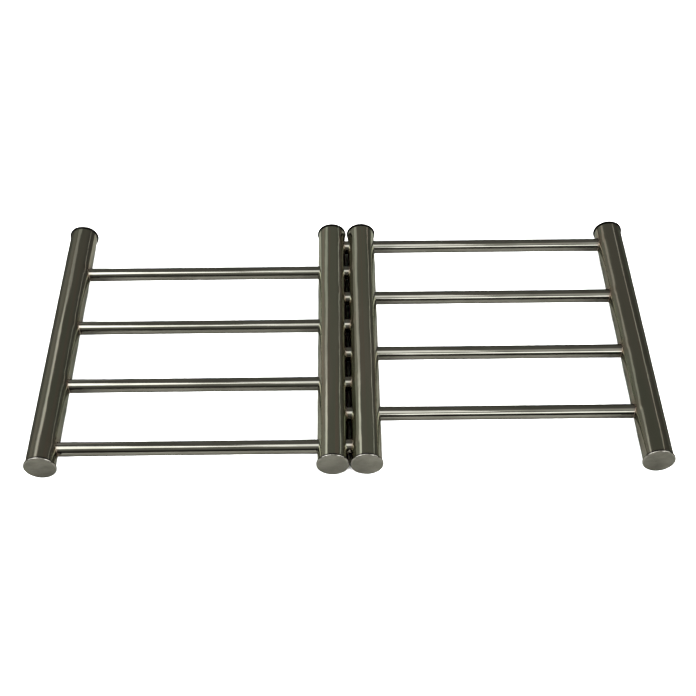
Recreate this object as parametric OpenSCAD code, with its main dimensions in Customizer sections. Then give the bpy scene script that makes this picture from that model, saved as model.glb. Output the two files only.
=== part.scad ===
// Extending rack of two identical ladder frames in stainless steel.
// Each frame is an end tube and an inner tube joined by four rungs. The frames are nested: the
// rungs of one slide through drilled holes in the inner tube of the other, so the rack pulls out
// until the two inner tubes meet, and pushes in until each meets the other frame's end tube.
// It is drawn pulled out and lying flat: X is the way it extends, Y runs along the tubes and Z is up.
// The origin is on the surface it lies on, at the middle. Sizes are in millimetres.

/* [Frame] */
// Distance between the axes of the two tubes of one frame
frame_w = 200; // [100:1:300]
// Gap left between the rims of neighbouring end caps when the rack is fully in or fully out
nest_gap = 0.6; // [0.4:0.1:3]

/* [Tubes] */
// Outside diameter of the four tubes
tube_d = 19; // [15:0.5:25]
// Wall thickness of the tubes
tube_wall = 1; // [0.8:0.1:1.5]
// Length of each tube without its end caps
tube_len = 204; // [160:1:300]
// Chamfer on the outside edge of each sawn tube end
tube_chamfer = 0.3; // [0.1:0.05:0.5]

/* [Rungs] */
// Diameter of the solid rungs
rung_d = 9; // [6:0.1:11]
// Number of rungs in each frame
rung_count = 4; // [3:1:4]
// Distance from a tube end to the axis of the rung nearest to it
end_margin = 12.75; // [10:0.25:25]
// Chamfer on both ends of each rung
rung_chamfer = 0.5; // [0.2:0.1:1]

/* [End caps] */
// How far the cap's flange stands out past the tube, all round
flange_lip = 0.7; // [0.2:0.1:2]
// Thickness of the flange
flange_t = 1.5; // [1.2:0.1:3]
// Radius of the flange's front edge
rim_r = 0.6; // [0.2:0.1:0.8]
// Radius of the flange's edge beside the tube
back_rim_r = 0.3; // [0.1:0.05:0.3]
// Wall thickness of the cup that plugs the tube
cup_wall = 1.2; // [0.8:0.1:2]
// Height of the two gripping rings round the cup
grip_h = 0.3; // [0.1:0.05:0.6]
// Width of each gripping ring
grip_w = 1.2; // [0.6:0.1:1.6]

/* [Fits] */
// Clearance all round a rung where it slides through the other frame's inner tube
slide_clear = 0.1; // [0.05:0.01:0.1]
// Gap between the end of a welded rung and the far wall of its tube
tip_gap = 0.3; // [0.1:0.1:1]
// Gap between the cup of an end cap and the nearest rung
cup_gap = 2; // [1:0.1:4]

/* [Hidden] */
$fn = 96;
SIDES = ["left", "right"];
ENDS = ["front", "rear"];
TUBES = ["end", "inner"];

tube_r = tube_d / 2;
bore_r = tube_r - tube_wall;
rung_r = rung_d / 2;
cap_r = tube_r + flange_lip;
axis_z = cap_r;

// Axis distance of two tubes that lie side by side, and of the outermost tube from the middle
nest_pitch = 2 * cap_r + nest_gap;
half_span = frame_w - nest_pitch / 2;

// All the rungs of both frames are evenly spaced, and they belong to the two frames in turn
rung_spacing = (tube_len - 2 * end_margin) / (2 * rung_count - 1);

// A welded rung runs through the near wall of its tube and stops just short of the far wall
rung_reach = sqrt(bore_r * bore_r - rung_r * rung_r) - tip_gap;
rung_len = frame_w + 2 * rung_reach;

cup_r = bore_r - grip_h;
cup_len = end_margin - rung_r - cup_gap;
// Each gripping ring sits in its own half of the cup
grip_step = cup_len / 2;

steel = [0.33, 0.32, 0.27];
bright_steel = [0.46, 0.45, 0.40];
cap_steel = [0.52, 0.51, 0.46];

// -1 for the left frame and for the front end, 1 for the right frame and for the rear end
function way(word) = word == "left" || word == "front" ? -1 : 1;
function other(side) = side == "left" ? "right" : "left";

// The two inner tubes have changed places: the left frame's lies right of the middle
function tube_x(side, tube) = way(side) * (tube == "end" ? half_span : -nest_pitch / 2);

// Rung 1 is the front one; the left frame's rungs take the first, third, fifth ... place
function rung_y(side, i) =
    end_margin - tube_len / 2 + rung_spacing * (2 * (i - 1) + (side == "left" ? 0 : 1));

function rung_places(side) = [for (i = [1 : rung_count]) rung_y(side, i)];

// A point on a quarter of an edge rounding
function arc_point(centre, radius, angle) = centre + radius * [cos(angle), sin(angle)];

// Plain tube along Y, with its outside edges chamfered
module tube_blank() {
    rotate([90, 0, 0])
        rotate_extrude()
            polygon([
                [bore_r, -tube_len / 2],
                [tube_r - tube_chamfer, -tube_len / 2],
                [tube_r, tube_chamfer - tube_len / 2],
                [tube_r, tube_len / 2 - tube_chamfer],
                [tube_r - tube_chamfer, tube_len / 2],
                [bore_r, tube_len / 2]
            ]);
}

// Drill along X for a welded rung, through the one wall that faces its frame's other tube
module weld_hole(toward) {
    rotate([0, toward * 90, 0])
        cylinder(h = tube_d, r = rung_r);
}

// Drill along X for a sliding rung of the other frame, through both walls
module slide_hole() {
    rotate([0, 90, 0])
        cylinder(h = 2 * tube_d, r = rung_r + slide_clear, center = true);
}

module end_tube(side) {
    color(steel)
        translate([tube_x(side, "end"), 0, axis_z])
            difference() {
                tube_blank();
                for (y = rung_places(side))
                    translate([0, y, 0])
                        weld_hole(-way(side));
            }
}

module inner_tube(side) {
    color(steel)
        translate([tube_x(side, "inner"), 0, axis_z])
            difference() {
                tube_blank();
                for (y = rung_places(side))
                    translate([0, y, 0])
                        weld_hole(way(side));
                for (y = rung_places(other(side)))
                    translate([0, y, 0])
                        slide_hole();
            }
}

// Solid round bar along X, chamfered at both ends, between the two tubes of its frame
module rung(side, i) {
    middle_x = (tube_x(side, "end") + tube_x(side, "inner")) / 2;
    color(bright_steel)
        translate([middle_x, rung_y(side, i), axis_z])
            rotate([0, 90, 0])
                rotate_extrude()
                    polygon([
                        [0, -rung_len / 2],
                        [rung_r - rung_chamfer, -rung_len / 2],
                        [rung_r, rung_chamfer - rung_len / 2],
                        [rung_r, rung_len / 2 - rung_chamfer],
                        [rung_r - rung_chamfer, rung_len / 2],
                        [0, rung_len / 2]
                    ]);
}

// Half section of the flange: flat face, large front rounding, small rounding beside the tube
module flange_section() {
    polygon(concat(
        [[0, 0]],
        [for (a = [-90 : 15 : 0]) arc_point([cap_r - back_rim_r, back_rim_r], back_rim_r, a)],
        [for (a = [0 : 15 : 90]) arc_point([cap_r - rim_r, flange_t - rim_r], rim_r, a)],
        [[0, flange_t]]
    ));
}

// End cap: a round flange on a hollow cup that two gripping rings hold in the tube's bore
module cap(side, tube, end) {
    color(cap_steel)
        translate([tube_x(side, tube), way(end) * tube_len / 2, axis_z])
            rotate([-way(end) * 90, 0, 0]) {
                rotate_extrude()
                    flange_section();
                difference() {
                    union() {
                        translate([0, 0, -cup_len])
                            cylinder(h = cup_len, r = cup_r);
                        for (k = [0, 1])
                            translate([0, 0, (grip_step - grip_w) / 2 - grip_step * (k + 1)])
                                cylinder(h = grip_w, r = bore_r);
                    }
                    translate([0, 0, -2 * cup_len])
                        cylinder(h = 2 * cup_len, r = cup_r - cup_wall);
                }
            }
}

for (side = SIDES) {
    for (tube = TUBES, end = ENDS)
        cap(side, tube, end);
    for (i = [1 : rung_count])
        rung(side, i);
    end_tube(side);
    inner_tube(side);
}
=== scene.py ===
import math

import bmesh
import bpy
from mathutils import Matrix, Vector


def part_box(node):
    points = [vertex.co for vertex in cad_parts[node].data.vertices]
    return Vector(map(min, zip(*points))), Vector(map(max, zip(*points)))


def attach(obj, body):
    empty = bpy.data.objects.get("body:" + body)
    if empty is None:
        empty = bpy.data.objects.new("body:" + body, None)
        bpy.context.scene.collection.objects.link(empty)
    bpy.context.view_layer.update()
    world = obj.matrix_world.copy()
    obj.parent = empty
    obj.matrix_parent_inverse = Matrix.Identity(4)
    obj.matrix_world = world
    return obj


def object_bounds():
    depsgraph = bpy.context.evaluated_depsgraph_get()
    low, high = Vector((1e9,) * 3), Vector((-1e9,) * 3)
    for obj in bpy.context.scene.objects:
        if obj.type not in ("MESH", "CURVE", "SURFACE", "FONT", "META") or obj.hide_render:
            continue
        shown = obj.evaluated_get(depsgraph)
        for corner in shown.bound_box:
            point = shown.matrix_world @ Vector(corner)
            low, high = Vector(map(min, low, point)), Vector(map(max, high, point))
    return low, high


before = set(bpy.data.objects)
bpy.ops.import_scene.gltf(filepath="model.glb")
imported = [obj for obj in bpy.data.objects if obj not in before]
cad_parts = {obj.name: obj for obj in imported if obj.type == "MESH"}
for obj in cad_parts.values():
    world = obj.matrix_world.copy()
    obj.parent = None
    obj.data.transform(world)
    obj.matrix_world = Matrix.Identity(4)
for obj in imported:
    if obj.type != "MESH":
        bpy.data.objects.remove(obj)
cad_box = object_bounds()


# --- Tubes -------------------------------------------------------------------------------------
# Four lengths of drawn stainless tube, the long members of the two ladder frames. They are
# polished lengthwise before the rungs are welded in, so they show fine draw lines, a soft uneven
# shine, and a brown heat tint round each weld.
MM = 0.001
# Painted light: all four tubes are one steel, but the inner tubes are given a lighter colour and
# the end tubes a darker one, a painted highlight and shade for how light falls on them
TUBE_STEEL_LIT_AND_SHADED = {"end": (0.352, 0.338, 0.275), "inner": (0.482, 0.463, 0.376)}
BROWN_CAST = (1.05, 0.89, 0.87)
GREEN_CAST = (0.88, 0.95, 0.91)
HEAT_CAST = (0.74, 0.52, 0.45)
# Painted shade: a near-black colour laid in the groove at each cap and in the creases round rung
# holes and welds
CREASE_SHADE_COLOUR = (0.022, 0.020, 0.016)
SEAM_WIDTH = 0.5 * MM
BROWN_SHARE = 0.6
TUBE_EDGE_SHINE = 0.78
# Roughness: of the polish at its best and worst, and what draw lines and the painted crease shade
# add to it
TUBE_POLISH, DRAW_LINE_ROUGH, CREASE_SHADE_ROUGH = (0.06, 0.14), 0.06, 0.35
# Heights of the tube wall's unevenness: its long swells, its ripples and its draw lines
SWELL, RIPPLE, DRAW_LINE = 1.0 * MM, 0.26 * MM, 0.006 * MM
# The heat tint starts to fade this far from a rung's axis, and is gone at the second distance
HEAT_FULL, HEAT_GONE, HEAT_SHARE = 5.6 * MM, 12 * MM, 0.4
HEAT_RAGGED = 3 * MM
# The painted shade line round a hole, past the rung's own radius
HOLE_LINE_FULL, HOLE_LINE_GONE, HOLE_SHADE_SHARE = 0.25 * MM, 0.6 * MM, 0.9
COLLAR_WIDTH, COLLAR_HEIGHT = 4.5 * MM, 0.25 * MM
# A tube's side, measured from its axis: where its face starts, and where it is all face
FACE_STARTS, FACE_FULL = 2 * MM, 6 * MM


def cast(colour, by):
    return tuple(a * b for a, b in zip(colour, by))


class Finish:
    """The nodes of one procedural finish, on a bare metal shader unless told otherwise."""

    def __init__(self, name, metallic=1.0, edge=1.0, tree=None):
        if tree is None:
            self.material = bpy.data.materials.new(name)
            self.material.use_nodes = True
            tree = self.material.node_tree
            self.shader = tree.nodes["Principled BSDF"]
            self.shader.inputs["Metallic"].default_value = metallic
            self.shader.inputs["Specular Tint"].default_value = (edge, edge, edge, 1)
        self.nodes, self.links = tree.nodes, tree.links
        self.place = self.nodes.new("ShaderNodeTexCoord").outputs["Object"]
        self.x, self.y, self.z = self.split(self.place)

    def feed(self, value, socket):
        if isinstance(value, bpy.types.NodeSocket):
            self.links.new(value, socket)
        elif isinstance(value, tuple) and len(value) == 3 and socket.type == "RGBA":
            socket.default_value = (*value, 1)
        else:
            socket.default_value = value

    def split(self, vector):
        node = self.nodes.new("ShaderNodeSeparateXYZ")
        self.links.new(vector, node.inputs[0])
        return node.outputs

    def calc(self, operation, *values):
        node = self.nodes.new("ShaderNodeMath")
        node.operation = operation
        for value, socket in zip(values, node.inputs):
            self.feed(value, socket)
        return node.outputs[0]

    def reach(self, across, along):
        """How far a point is from an axis, from its two offsets."""
        squares = self.calc("ADD", self.calc("POWER", across, 2), self.calc("POWER", along, 2))
        return self.calc("SQRT", squares)

    def grain(self, scale, detail=3.0, roughness=0.55):
        """Noise stretched by its own scale along X, Y and Z, in features to the metre."""
        stretch = self.nodes.new("ShaderNodeMapping")
        self.feed(scale, stretch.inputs["Scale"])
        self.links.new(self.place, stretch.inputs["Vector"])
        noise = self.nodes.new("ShaderNodeTexNoise")
        for socket, value in (("Scale", 1.0), ("Detail", detail), ("Roughness", roughness)):
            noise.inputs[socket].default_value = value
        self.links.new(stretch.outputs[0], noise.inputs["Vector"])
        return noise.outputs["Fac"]

    def spread(self, value, low, high, to_low, to_high):
        """A value's range low..high laid onto to_low..to_high, eased and held at the ends."""
        fit = self.nodes.new("ShaderNodeMapRange")
        fit.interpolation_type = "SMOOTHSTEP"
        for setting, socket in zip((value, low, high, to_low, to_high), fit.inputs):
            self.feed(setting, socket)
        return fit.outputs["Result"]

    def blend(self, share, under, over, kind="RGBA"):
        """The value or colour under, turned towards over by a share."""
        mix = self.nodes.new("ShaderNodeMix")
        mix.data_type = kind
        ends = [socket for socket in mix.inputs if socket.enabled]
        for value, socket in zip((share, under, over), ends):
            self.feed(value, socket)
        return next(socket for socket in mix.outputs if socket.enabled)

    def raise_surface(self, *layers):
        """Bump from (height, depth in metres) layers, the coarsest first."""
        under = None
        for height, depth in layers:
            bump = self.nodes.new("ShaderNodeBump")
            bump.inputs["Strength"].default_value = 1.0
            bump.inputs["Distance"].default_value = depth
            self.links.new(height, bump.inputs["Height"])
            if under is not None:
                self.links.new(under, bump.inputs["Normal"])
            under = bump.outputs["Normal"]
        self.links.new(under, self.shader.inputs["Normal"])

    def seam(self, low, high):
        """1 in the groove between a tube's end and its cap, where the groove's shade is painted,
        for a tube from low to high in Y.
        """
        from_middle = self.calc("ABSOLUTE", self.calc("SUBTRACT", self.y, (low.y + high.y) / 2))
        from_end = self.calc("ABSOLUTE", self.calc("SUBTRACT", from_middle, (high.y - low.y) / 2))
        return self.spread(from_end, SEAM_WIDTH, 1.5 * SEAM_WIDTH, 1, 0)

    def show(self, colour, roughness):
        self.feed(colour, self.shader.inputs["Base Color"])
        self.feed(roughness, self.shader.inputs["Roughness"])
        return self.material


def tube_finish(frame_name, tube_name):
    steel = Finish(f"{frame_name}_{tube_name}_tube_steel", edge=TUBE_EDGE_SHINE)
    low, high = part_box(f"{frame_name}_{tube_name}_tube")
    broad = steel.grain((60, 7, 60), 2.0)
    waves = steel.grain((110, 34, 110), 2.0)
    bands = steel.grain((260, 3, 260), 2.0)
    draw_lines = steel.grain((2600, 14, 2600), 4.0, 0.7)
    smudge = steel.grain((90, 70, 90), 5.0, 0.6)

    plain = TUBE_STEEL_LIT_AND_SHADED[tube_name]
    colour = steel.blend(steel.spread(broad, 0.4, 0.62, 0, 1), cast(plain, GREEN_CAST), plain)
    brown = steel.spread(bands, 0.5, 0.66, 0, BROWN_SHARE)
    colour = steel.blend(brown, colour, cast(plain, BROWN_CAST))

    # How far a point is from the nearest welded rung's axis and, on an inner tube, from the
    # nearest of the other frame's rungs, which slide through halfway between the welded ones
    rung_low, rung_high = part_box(f"{frame_name}_rung_1")
    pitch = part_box(f"{frame_name}_rung_2")[0].y - rung_low.y
    rung_radius = (rung_high.z - rung_low.z) / 2
    first = (rung_low + rung_high) / 2

    def from_rungs(first_y):
        wrapped = steel.calc("WRAP", steel.y, first_y + pitch / 2, first_y - pitch / 2)
        along = steel.calc("SUBTRACT", wrapped, first_y)
        return steel.reach(along, steel.calc("SUBTRACT", steel.z, first.z))

    # The welds are on the tube's inner face only; the sliding holes go through both faces
    axis_x = (low.x + high.x) / 2
    inward = 1 if first.x > axis_x else -1
    side = steel.calc("MULTIPLY", steel.calc("SUBTRACT", steel.x, axis_x), inward)
    inner_face = steel.spread(side, FACE_STARTS, FACE_FULL, 0, 1)
    welded = from_rungs(first.y)
    ragged = steel.calc("MULTIPLY_ADD", smudge, HEAT_RAGGED, welded)
    heat = steel.spread(ragged, HEAT_FULL, HEAT_GONE, HEAT_SHARE, 0)
    heat = steel.calc("MULTIPLY", heat, inner_face)
    colour = steel.blend(heat, colour, cast(plain, HEAT_CAST))

    # Painted shade: a dark ring just past each hole's edge
    def ring(distance):
        full, gone = rung_radius + HOLE_LINE_FULL, rung_radius + HOLE_LINE_GONE
        return steel.spread(distance, full, gone, HOLE_SHADE_SHARE, 0)

    # Painted shade in the creases: round each welded rung's hole, in the groove at each cap and
    # round the sliding holes
    painted_crease_shade = steel.calc("MULTIPLY", ring(welded), inner_face)
    painted_crease_shade = steel.calc("MAXIMUM", painted_crease_shade, steel.seam(low, high))
    if tube_name == "inner":
        either_face = steel.spread(steel.calc("ABSOLUTE", side), FACE_STARTS, FACE_FULL, 0, 1)
        bored = steel.calc("MULTIPLY", ring(from_rungs(first.y + pitch / 2)), either_face)
        painted_crease_shade = steel.calc("MAXIMUM", painted_crease_shade, bored)
    colour = steel.blend(painted_crease_shade, colour, CREASE_SHADE_COLOUR)

    shine = steel.spread(smudge, 0.35, 0.7, *TUBE_POLISH)
    shine = steel.calc("MULTIPLY_ADD", draw_lines, DRAW_LINE_ROUGH, shine)
    shine = steel.calc("MULTIPLY_ADD", painted_crease_shade, CREASE_SHADE_ROUGH, shine)
    # The wall is drawn up a little into a collar round each weld
    collar = steel.spread(welded, rung_radius, rung_radius + COLLAR_WIDTH, 1, 0)
    collar = steel.calc("MULTIPLY", collar, inner_face)
    steel.raise_surface(
        (collar, COLLAR_HEIGHT), (broad, SWELL), (waves, RIPPLE), (draw_lines, DRAW_LINE)
    )
    return steel.show(colour, shine)


for frame_name in ("left", "right"):
    for tube_name in ("end", "inner"):
        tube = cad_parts[f"{frame_name}_{tube_name}_tube"]
        tube.material_slots[0].material = tube_finish(frame_name, tube_name)


# --- Rungs -------------------------------------------------------------------------------------
# Eight straight lengths of round stainless bar, four to a frame, polished brighter than the
# tubes. Each slides through the other frame's inner tube, which leaves fine scratches along it.
RUNG_STEEL = (0.400, 0.398, 0.350)
RUNG_STEEL_DULL = (0.311, 0.310, 0.266)
RUNG_EDGE_SHINE = 0.12
RUNG_POLISH, SCRATCH_ROUGH = (0.02, 0.05), 0.08
RUNG_SWELL, RUNG_SCRATCH = 0.3 * MM, 0.003 * MM
# The rung's own heat tint and the painted shade line at its weld, measured along it from the tube
# wall
RUNG_HEAT_FULL, RUNG_HEAT_GONE, RUNG_HEAT_SHARE = 0.5 * MM, 5 * MM, 0.5
WELD_SHADE_FULL, WELD_SHADE_GONE, WELD_SHADE_SHARE = 0.15 * MM, 0.5 * MM, 0.9


def rung_finish(frame_name):
    steel = Finish(f"{frame_name}_rung_steel", edge=RUNG_EDGE_SHINE)
    patches = steel.grain((25, 120, 120), 3.0)
    scratches = steel.grain((9, 3200, 3200), 4.0, 0.75)
    waviness = steel.grain((11, 30, 30), 2.0)
    colour = steel.blend(steel.spread(patches, 0.4, 0.68, 0, 1), RUNG_STEEL, RUNG_STEEL_DULL)

    # Heat tint, and a painted shade line in the crease where the bar enters its own frame's two
    # tubes
    for tube_name in ("end", "inner"):
        low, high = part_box(f"{frame_name}_{tube_name}_tube")
        axis = (low + high) / 2
        across = steel.calc("SUBTRACT", steel.x, axis.x)
        up = steel.calc("SUBTRACT", steel.z, axis.z)
        off_wall = steel.calc("SUBTRACT", steel.reach(across, up), (high.z - low.z) / 2)
        ragged = steel.calc("MULTIPLY_ADD", patches, HEAT_RAGGED, off_wall)
        heat = steel.spread(ragged, RUNG_HEAT_FULL, RUNG_HEAT_GONE, RUNG_HEAT_SHARE, 0)
        colour = steel.blend(heat, colour, cast(RUNG_STEEL, HEAT_CAST))
        # Painted shade in the crease where the bar meets the weld
        weld_shade = steel.spread(off_wall, WELD_SHADE_FULL, WELD_SHADE_GONE, WELD_SHADE_SHARE, 0)
        colour = steel.blend(weld_shade, colour, CREASE_SHADE_COLOUR)

    scratched = steel.spread(scratches, 0.45, 0.8, 0, 1)
    polish = steel.spread(patches, 0.35, 0.7, *RUNG_POLISH)
    shine = steel.calc("MULTIPLY_ADD", scratched, SCRATCH_ROUGH, polish)
    steel.raise_surface((waviness, RUNG_SWELL), (scratches, RUNG_SCRATCH))
    return steel.show(colour, shine)


for frame_name in ("left", "right"):
    finish = rung_finish(frame_name)
    for i in (1, 2, 3, 4):
        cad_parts[f"{frame_name}_rung_{i}"].material_slots[0].material = finish


# --- Welds -------------------------------------------------------------------------------------
# A small fillet of weld metal runs round each rung where it enters its own frame's two tubes. It
# is run without filler, left as it is, and keeps a straw and brown heat tint.
WELD_LEG = 0.5 * MM
WELD_BURY = 0.08 * MM
WELD_STEPS, WELD_CURVE = 56, (0.0, 0.25, 0.5, 0.75, 1.0)
# Each fillet swells and thins by this share of its leg, this many times round
WELD_UNEVEN, WELD_SWELLS = 0.12, 5
WELD_STEEL = (0.300, 0.262, 0.205)
WELD_STEEL_BROWN = (0.190, 0.140, 0.108)
WELD_EDGE_SHINE = 0.5
WELD_RIPPLE = 0.05 * MM
WELD_ROUGH = (0.18, 0.36)


def weld_ring(mesh, tube_box, rung_box):
    """One closed fillet round the corner between a rung and the tube wall that it enters."""
    tube_axis, rung_axis = sum(tube_box, Vector()) / 2, sum(rung_box, Vector()) / 2
    wall = (tube_box[1].z - tube_box[0].z) / 2
    bar = (rung_box[1].z - rung_box[0].z) / 2
    inward = 1 if rung_axis.x > tube_axis.x else -1

    def on_wall(radius, angle, wall_radius):
        y, z = radius * math.cos(angle), radius * math.sin(angle)
        return Vector((math.sqrt(wall_radius**2 - z**2), y, z))

    loops = []
    for step in range(WELD_STEPS):
        angle = 2 * math.pi * step / WELD_STEPS
        uneven = 1 + WELD_UNEVEN * math.sin(WELD_SWELLS * angle + 40 * rung_axis.y)
        corner = on_wall(bar, angle, wall)
        foot = on_wall(bar + WELD_LEG * uneven, angle, wall - WELD_BURY / 4)
        tip = on_wall(bar - WELD_BURY / 4, angle, wall) + Vector((WELD_LEG * uneven, 0, 0))
        loop = [(1 - t) ** 2 * foot + 2 * t * (1 - t) * corner + t**2 * tip for t in WELD_CURVE]
        loop.append(on_wall(bar - WELD_BURY, angle, wall) - Vector((WELD_BURY, 0, 0)))
        loops.append([
            mesh.verts.new((tube_axis.x + inward * p.x, rung_axis.y + p.y, rung_axis.z + p.z))
            for p in loop
        ])
    for one, two in zip(loops, loops[1:] + loops[:1]):
        for i in range(len(one)):
            j = (i + 1) % len(one)
            mesh.faces.new((one[i], two[i], two[j], one[j])).smooth = True


def weld_finish():
    steel = Finish("weld_steel", edge=WELD_EDGE_SHINE)
    ripple = steel.grain((900, 900, 900), 3.0, 0.6)
    patches = steel.grain((140, 140, 140), 2.0)
    colour = steel.blend(steel.spread(patches, 0.38, 0.62, 0, 1), WELD_STEEL, WELD_STEEL_BROWN)
    steel.raise_surface((ripple, WELD_RIPPLE))
    return steel.show(colour, steel.spread(ripple, 0.3, 0.7, *WELD_ROUGH))


weld_metal = weld_finish()
for frame_name in ("left", "right"):
    mesh = bmesh.new()
    for tube_name in ("end", "inner"):
        for i in (1, 2, 3, 4):
            tube_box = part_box(f"{frame_name}_{tube_name}_tube")
            weld_ring(mesh, tube_box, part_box(f"{frame_name}_rung_{i}"))
    bmesh.ops.recalc_face_normals(mesh, faces=mesh.faces)
    data = bpy.data.meshes.new(f"{frame_name}_welds")
    mesh.to_mesh(data)
    mesh.free()
    data.materials.append(weld_metal)
    welds = bpy.data.objects.new(f"{frame_name}_welds", data)
    bpy.context.scene.collection.objects.link(welds)
    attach(welds, f"{frame_name}_frame")


# --- End caps ----------------------------------------------------------------------------------
# Eight pressed stainless caps, one driven into each tube end. The face is lightly brushed and
# slightly crowned by the press, and the rim that stands out past the tube is rubbed bright; its
# lighter colour is partly a painted highlight.
CAP_STEEL = (0.345, 0.338, 0.298)
CAP_STEEL_WORN = (0.270, 0.264, 0.232)
CAP_RIM_WEAR_AND_HIGHLIGHT = (0.460, 0.450, 0.405)
# The end tubes' caps are a little darker than the inner ones
CAP_TONE = {"end": 0.87, "inner": 1.12}
CAP_EDGE_SHINE = 0.4
CROWN = 0.28 * MM
CAP_MOTTLE, CAP_BRUSHING = 0.03 * MM, 0.003 * MM
# The rim's wear and painted highlight: how far in from the cap's edge it starts, and where it is
# full
RIM_STARTS, RIM_FULL = 0.9 * MM, 0.45 * MM
FACE_ROUGH, RIM_ROUGH, BRUSHING_ROUGH = 0.2, 0.06, 0.09
# How far each face leans to the side and back, since no cap is driven in quite square
LEANS = {
    "left_end": (0.010, -0.020), "left_inner": (-0.012, 0.012),
    "right_inner": (0.014, -0.004), "right_end": (-0.008, 0.022),
}


def cap_finish(frame_name, tube_name, end_name):
    steel = Finish(f"{frame_name}_{tube_name}_{end_name}_cap_steel", edge=CAP_EDGE_SHINE)
    low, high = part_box(f"{frame_name}_{tube_name}_{end_name}_cap")
    across = steel.calc("SUBTRACT", steel.x, (low.x + high.x) / 2)
    up = steel.calc("SUBTRACT", steel.z, (low.z + high.z) / 2)
    edge = (high.x - low.x) / 2
    radius = steel.reach(across, up)

    brushing = steel.grain((45, 45, 3000), 4.0, 0.7)
    mottle = steel.grain((120, 120, 260), 4.0, 0.6)
    rim_wear_and_highlight = steel.spread(radius, edge - RIM_STARTS, edge - RIM_FULL, 0, 1)
    tone = (CAP_TONE[tube_name],) * 3
    plain, worn = cast(CAP_STEEL, tone), cast(CAP_STEEL_WORN, tone)
    colour = steel.blend(steel.spread(mottle, 0.35, 0.7, 0, 1), plain, worn)
    # Painted highlight: the rubbed rim is given a lighter colour than the face
    colour = steel.blend(rim_wear_and_highlight, colour, CAP_RIM_WEAR_AND_HIGHLIGHT)
    # Painted shade in the groove where the cap meets its tube
    painted_crease_shade = steel.seam(*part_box(f"{frame_name}_{tube_name}_tube"))
    colour = steel.blend(painted_crease_shade, colour, CREASE_SHADE_COLOUR)

    sideways, back = LEANS[f"{frame_name}_{tube_name}"]
    out = steel.calc("DIVIDE", radius, edge)
    bulge = steel.calc("MULTIPLY", steel.calc("POWER", out, 2), -CROWN)
    lean = steel.calc("MULTIPLY_ADD", across, sideways, steel.calc("MULTIPLY_ADD", up, back, bulge))
    polish = steel.spread(rim_wear_and_highlight, 0, 1, FACE_ROUGH, RIM_ROUGH)
    shine = steel.calc("MULTIPLY_ADD", brushing, BRUSHING_ROUGH, polish)
    steel.raise_surface((lean, 1.0), (mottle, CAP_MOTTLE), (brushing, CAP_BRUSHING))
    return steel.show(colour, shine)


for frame_name in ("left", "right"):
    for tube_name in ("end", "inner"):
        for end_name in ("front", "rear"):
            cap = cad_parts[f"{frame_name}_{tube_name}_{end_name}_cap"]
            cap.material_slots[0].material = cap_finish(frame_name, tube_name, end_name)


# --- Floor and light ---------------------------------------------------------------------------
# The rack lies on a plain white floor, lit from its four corners. The steel itself mirrors a dim
# room: a grey mat under and in front of the rack, softboxes overhead, in front and at the sides,
# and faint strips low behind it.
FLOOR_WHITE = (0.86, 0.86, 0.85)
MAT_GREY = (0.134, 0.133, 0.122)
rack_low, rack_high = cad_box
rack_middle = (rack_low + rack_high) / 2
FLOOR_REACH = 4
FLOOR_HEIGHT = rack_low.z - 0.1 * MM
MAT_HEIGHT = rack_low.z - 0.05 * MM
# The mat keeps inside the rack's ends and runs on behind it; a wider part lies in front
MAT_INSET, MAT_BEHIND, MAT_LIP = 1 * MM, 60 * MM, 2 * MM
MAT_BESIDE, MAT_AHEAD = 80 * MM, 90 * MM


def sheet(name, rectangles, height, colour):
    """A flat matt sheet made of (low corner, high corner) rectangles."""
    corners = [
        (x, y, height)
        for low, high in rectangles
        for x, y in ((low[0], low[1]), (high[0], low[1]), (high[0], high[1]), (low[0], high[1]))
    ]
    mesh = bpy.data.meshes.new(name)
    mesh.from_pydata(corners, [], [range(i, i + 4) for i in range(0, len(corners), 4)])
    finish = Finish(name, metallic=0.0)
    finish.feed(0.0, finish.shader.inputs["Specular IOR Level"])
    mesh.materials.append(finish.show(colour, 0.9))
    piece = bpy.data.objects.new(name, mesh)
    bpy.context.scene.collection.objects.link(piece)
    return piece


whole_floor = (-FLOOR_REACH, -FLOOR_REACH), (FLOOR_REACH, FLOOR_REACH)
floor = sheet("floor", [whole_floor], FLOOR_HEIGHT, FLOOR_WHITE)
floor.visible_glossy = False
mat_front = rack_low.y - MAT_LIP
under_rack = (
    (rack_low.x + MAT_INSET, mat_front),
    (rack_high.x - MAT_INSET, rack_high.y + MAT_BEHIND),
)
in_front = (
    (rack_low.x - MAT_BESIDE, rack_low.y - MAT_AHEAD),
    (rack_high.x + MAT_BESIDE, mat_front),
)
mat = sheet("mat", [under_rack, in_front], MAT_HEIGHT, MAT_GREY)
mat.visible_camera = mat.visible_diffuse = mat.visible_shadow = False

# White paper stands in a ring round the set with a white ceiling over it. It is only there for
# low camera angles: it neither lights the rack nor shows in the steel.
BACKDROP_RADIUS, BACKDROP_HEIGHT, BACKDROP_SIDES = 2.0, 2.4, 96
BACKDROP_WHITE = (1.0, 1.0, 0.99)
bends = [2 * math.pi * i / BACKDROP_SIDES for i in range(BACKDROP_SIDES)]
backdrop_ring = [(BACKDROP_RADIUS * math.cos(a), BACKDROP_RADIUS * math.sin(a)) for a in bends]
backdrop_mesh = bpy.data.meshes.new("backdrop")
backdrop_mesh.from_pydata(
    [(x, y, z) for z in (FLOOR_HEIGHT, BACKDROP_HEIGHT) for x, y in backdrop_ring],
    [],
    [
        (i, (i + 1) % BACKDROP_SIDES, (i + 1) % BACKDROP_SIDES + BACKDROP_SIDES, i + BACKDROP_SIDES)
        for i in range(BACKDROP_SIDES)
    ]
    + [range(BACKDROP_SIDES, 2 * BACKDROP_SIDES)],
)
backdrop_paper = Finish("backdrop_paper", metallic=0.0)
backdrop_paper.feed(BACKDROP_WHITE, backdrop_paper.shader.inputs["Emission Color"])
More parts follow.
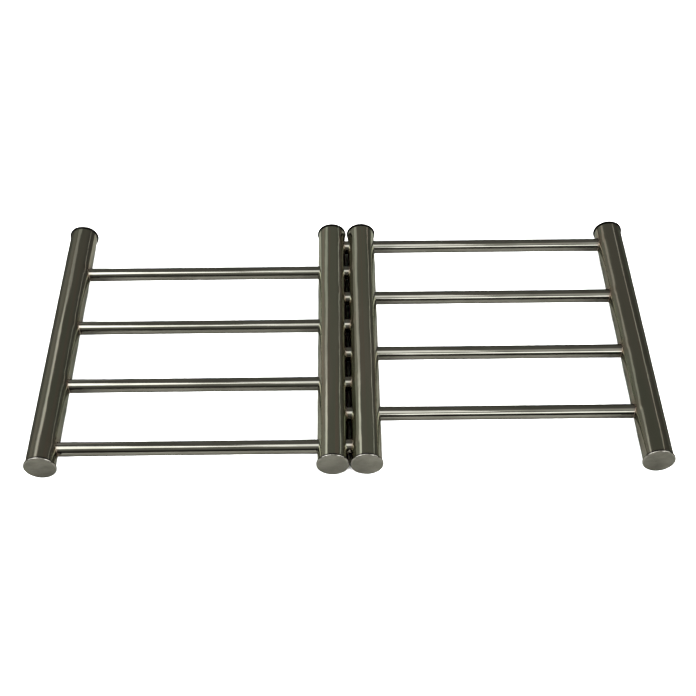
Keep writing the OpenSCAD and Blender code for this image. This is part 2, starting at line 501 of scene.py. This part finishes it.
backdrop_paper.feed(1.0, backdrop_paper.shader.inputs["Emission Strength"])
backdrop_mesh.materials.append(backdrop_paper.show((0, 0, 0), 1.0))
backdrop = bpy.data.objects.new("backdrop", backdrop_mesh)
bpy.context.scene.collection.objects.link(backdrop)
backdrop.visible_glossy = backdrop.visible_diffuse = backdrop.visible_shadow = False


def softbox(name, place, size, brightness, on_steel=True, along_tubes=False):
    """A rectangular light that faces the rack and shows either in the steel or on the floor.

    One laid along the tubes keeps its long side parallel to them.
    """
    aim_y = place[1] if along_tubes else rack_middle.y
    aim = Vector((rack_middle.x, aim_y, rack_middle.z))
    light = bpy.data.lights.new(name, "AREA")
    light.shape = "RECTANGLE"
    light.size, light.size_y = size
    light.energy = brightness * math.pi * size[0] * size[1]
    lamp = bpy.data.objects.new(name, light)
    bpy.context.scene.collection.objects.link(lamp)
    lamp.location = place
    lamp.rotation_euler = (aim - Vector(place)).to_track_quat("-Z", "Y").to_euler()
    lamp.visible_glossy = on_steel
    lamp.visible_diffuse = not on_steel
    lamp.visible_camera = False


for side in (-1, 1):
    for end in (-1, 1):
        softbox("corner_bank", (1.15 * side, 1.15 * end, 0.9), (1.3, 1.3), 20.0, on_steel=False)
softbox("overhead_softbox", (-0.62, -0.36, 1.35), (0.9, 0.8), 2.8)
softbox("overhead_middle_panel", (0.04, -0.36, 1.35), (0.40, 0.8), 1.35)
softbox("overhead_right_panel", (0.60, -0.36, 1.35), (0.7, 0.8), 0.36)
softbox("front_right_softbox", (0.5, -0.98, 0.88), (0.95, 0.34), 2.8)
softbox("left_side_softbox", (-1.25, -0.1, 0.95), (0.9, 1.1), 2.5)
softbox("right_side_softbox", (1.25, -0.1, 0.95), (0.9, 1.1), 2.5)
softbox("back_left_strip", (-0.41, 0.50, 0.384), (0.90, 0.22), 0.33, along_tubes=True)
softbox("back_left_core", (-0.40, 0.19, 0.384), (0.44, 0.13), 0.58, along_tubes=True)
softbox("back_right_strip", (0.48, 0.55, 0.32), (0.80, 0.045), 0.58, along_tubes=True)

# The dim room. Its strengths run from one end of a wall to the other
ROOM_TINT = (0.95, 0.93, 0.84, 1)
FRONT_WALL, LOW_BACK_WALL, HIGH_BACK_WALL = (0.014, 0.34), (0.30, 0.10), 0.155
BELOW_FLOOR = 0.16
world = bpy.data.worlds.new("room")
world.use_nodes = True
room = Finish("room", tree=world.node_tree)
toward = room.split(room.nodes.new("ShaderNodeTexCoord").outputs["Generated"])
# In front: black where the wall meets the floor, lighter towards the ceiling
front_wall = room.spread(toward["Z"], 0.15, 0.85, *FRONT_WALL)
# Behind: dim, a little lighter low down on the left
low_wall = room.spread(toward["X"], -0.75, 0.5, *LOW_BACK_WALL)
high_up = room.spread(toward["Z"], 0.3, 0.65, 0, 1)
back_wall = room.blend(high_up, low_wall, HIGH_BACK_WALL, "FLOAT")
walls = room.blend(room.spread(toward["Y"], -0.25, 0.25, 0, 1), front_wall, back_wall, "FLOAT")
below = room.spread(toward["Z"], -0.04, 0.0, 1, 0)
room_light = room.blend(below, walls, BELOW_FLOOR, "FLOAT")
background = room.nodes["Background"]
background.inputs["Color"].default_value = ROOM_TINT
room.links.new(room_light, background.inputs["Strength"])
bpy.context.scene.world = world
world.cycles_visibility.diffuse = False
bpy.context.scene.view_settings.view_transform = "Standard"


# --- Camera ------------------------------------------------------------------------------------
# Stands in front of the rack and looks down on it, a little over arm's length away.
CAMERA_TURN = math.radians(0.5)
CAMERA_PITCH = math.radians(48.25)
CAMERA_ROLL = math.radians(-0.24)
CAMERA_DISTANCE = 0.802
LENS, SENSOR = 62.42, 36.0
# It aims this far in front of the rack's middle
AIM_AHEAD = 7.6 * MM
aim = Vector((rack_middle.x, rack_middle.y - AIM_AHEAD, rack_middle.z))
sight = Vector((
    math.sin(CAMERA_TURN) * math.cos(CAMERA_PITCH),
    math.cos(CAMERA_TURN) * math.cos(CAMERA_PITCH),
    -math.sin(CAMERA_PITCH),
))
level = sight.cross(Vector((0, 0, 1))).normalized()
upward = level.cross(sight)
across = math.cos(CAMERA_ROLL) * level + math.sin(CAMERA_ROLL) * upward
upward = across.cross(sight)
lens = bpy.data.cameras.new("camera")
lens.lens, lens.sensor_width = LENS, SENSOR
camera = bpy.data.objects.new("camera", lens)
bpy.context.scene.collection.objects.link(camera)
camera.matrix_world = Matrix.Translation(aim - CAMERA_DISTANCE * sight) @ Matrix(
    (across, upward, -sight)
).transposed().to_4x4()
bpy.context.scene.camera = camera
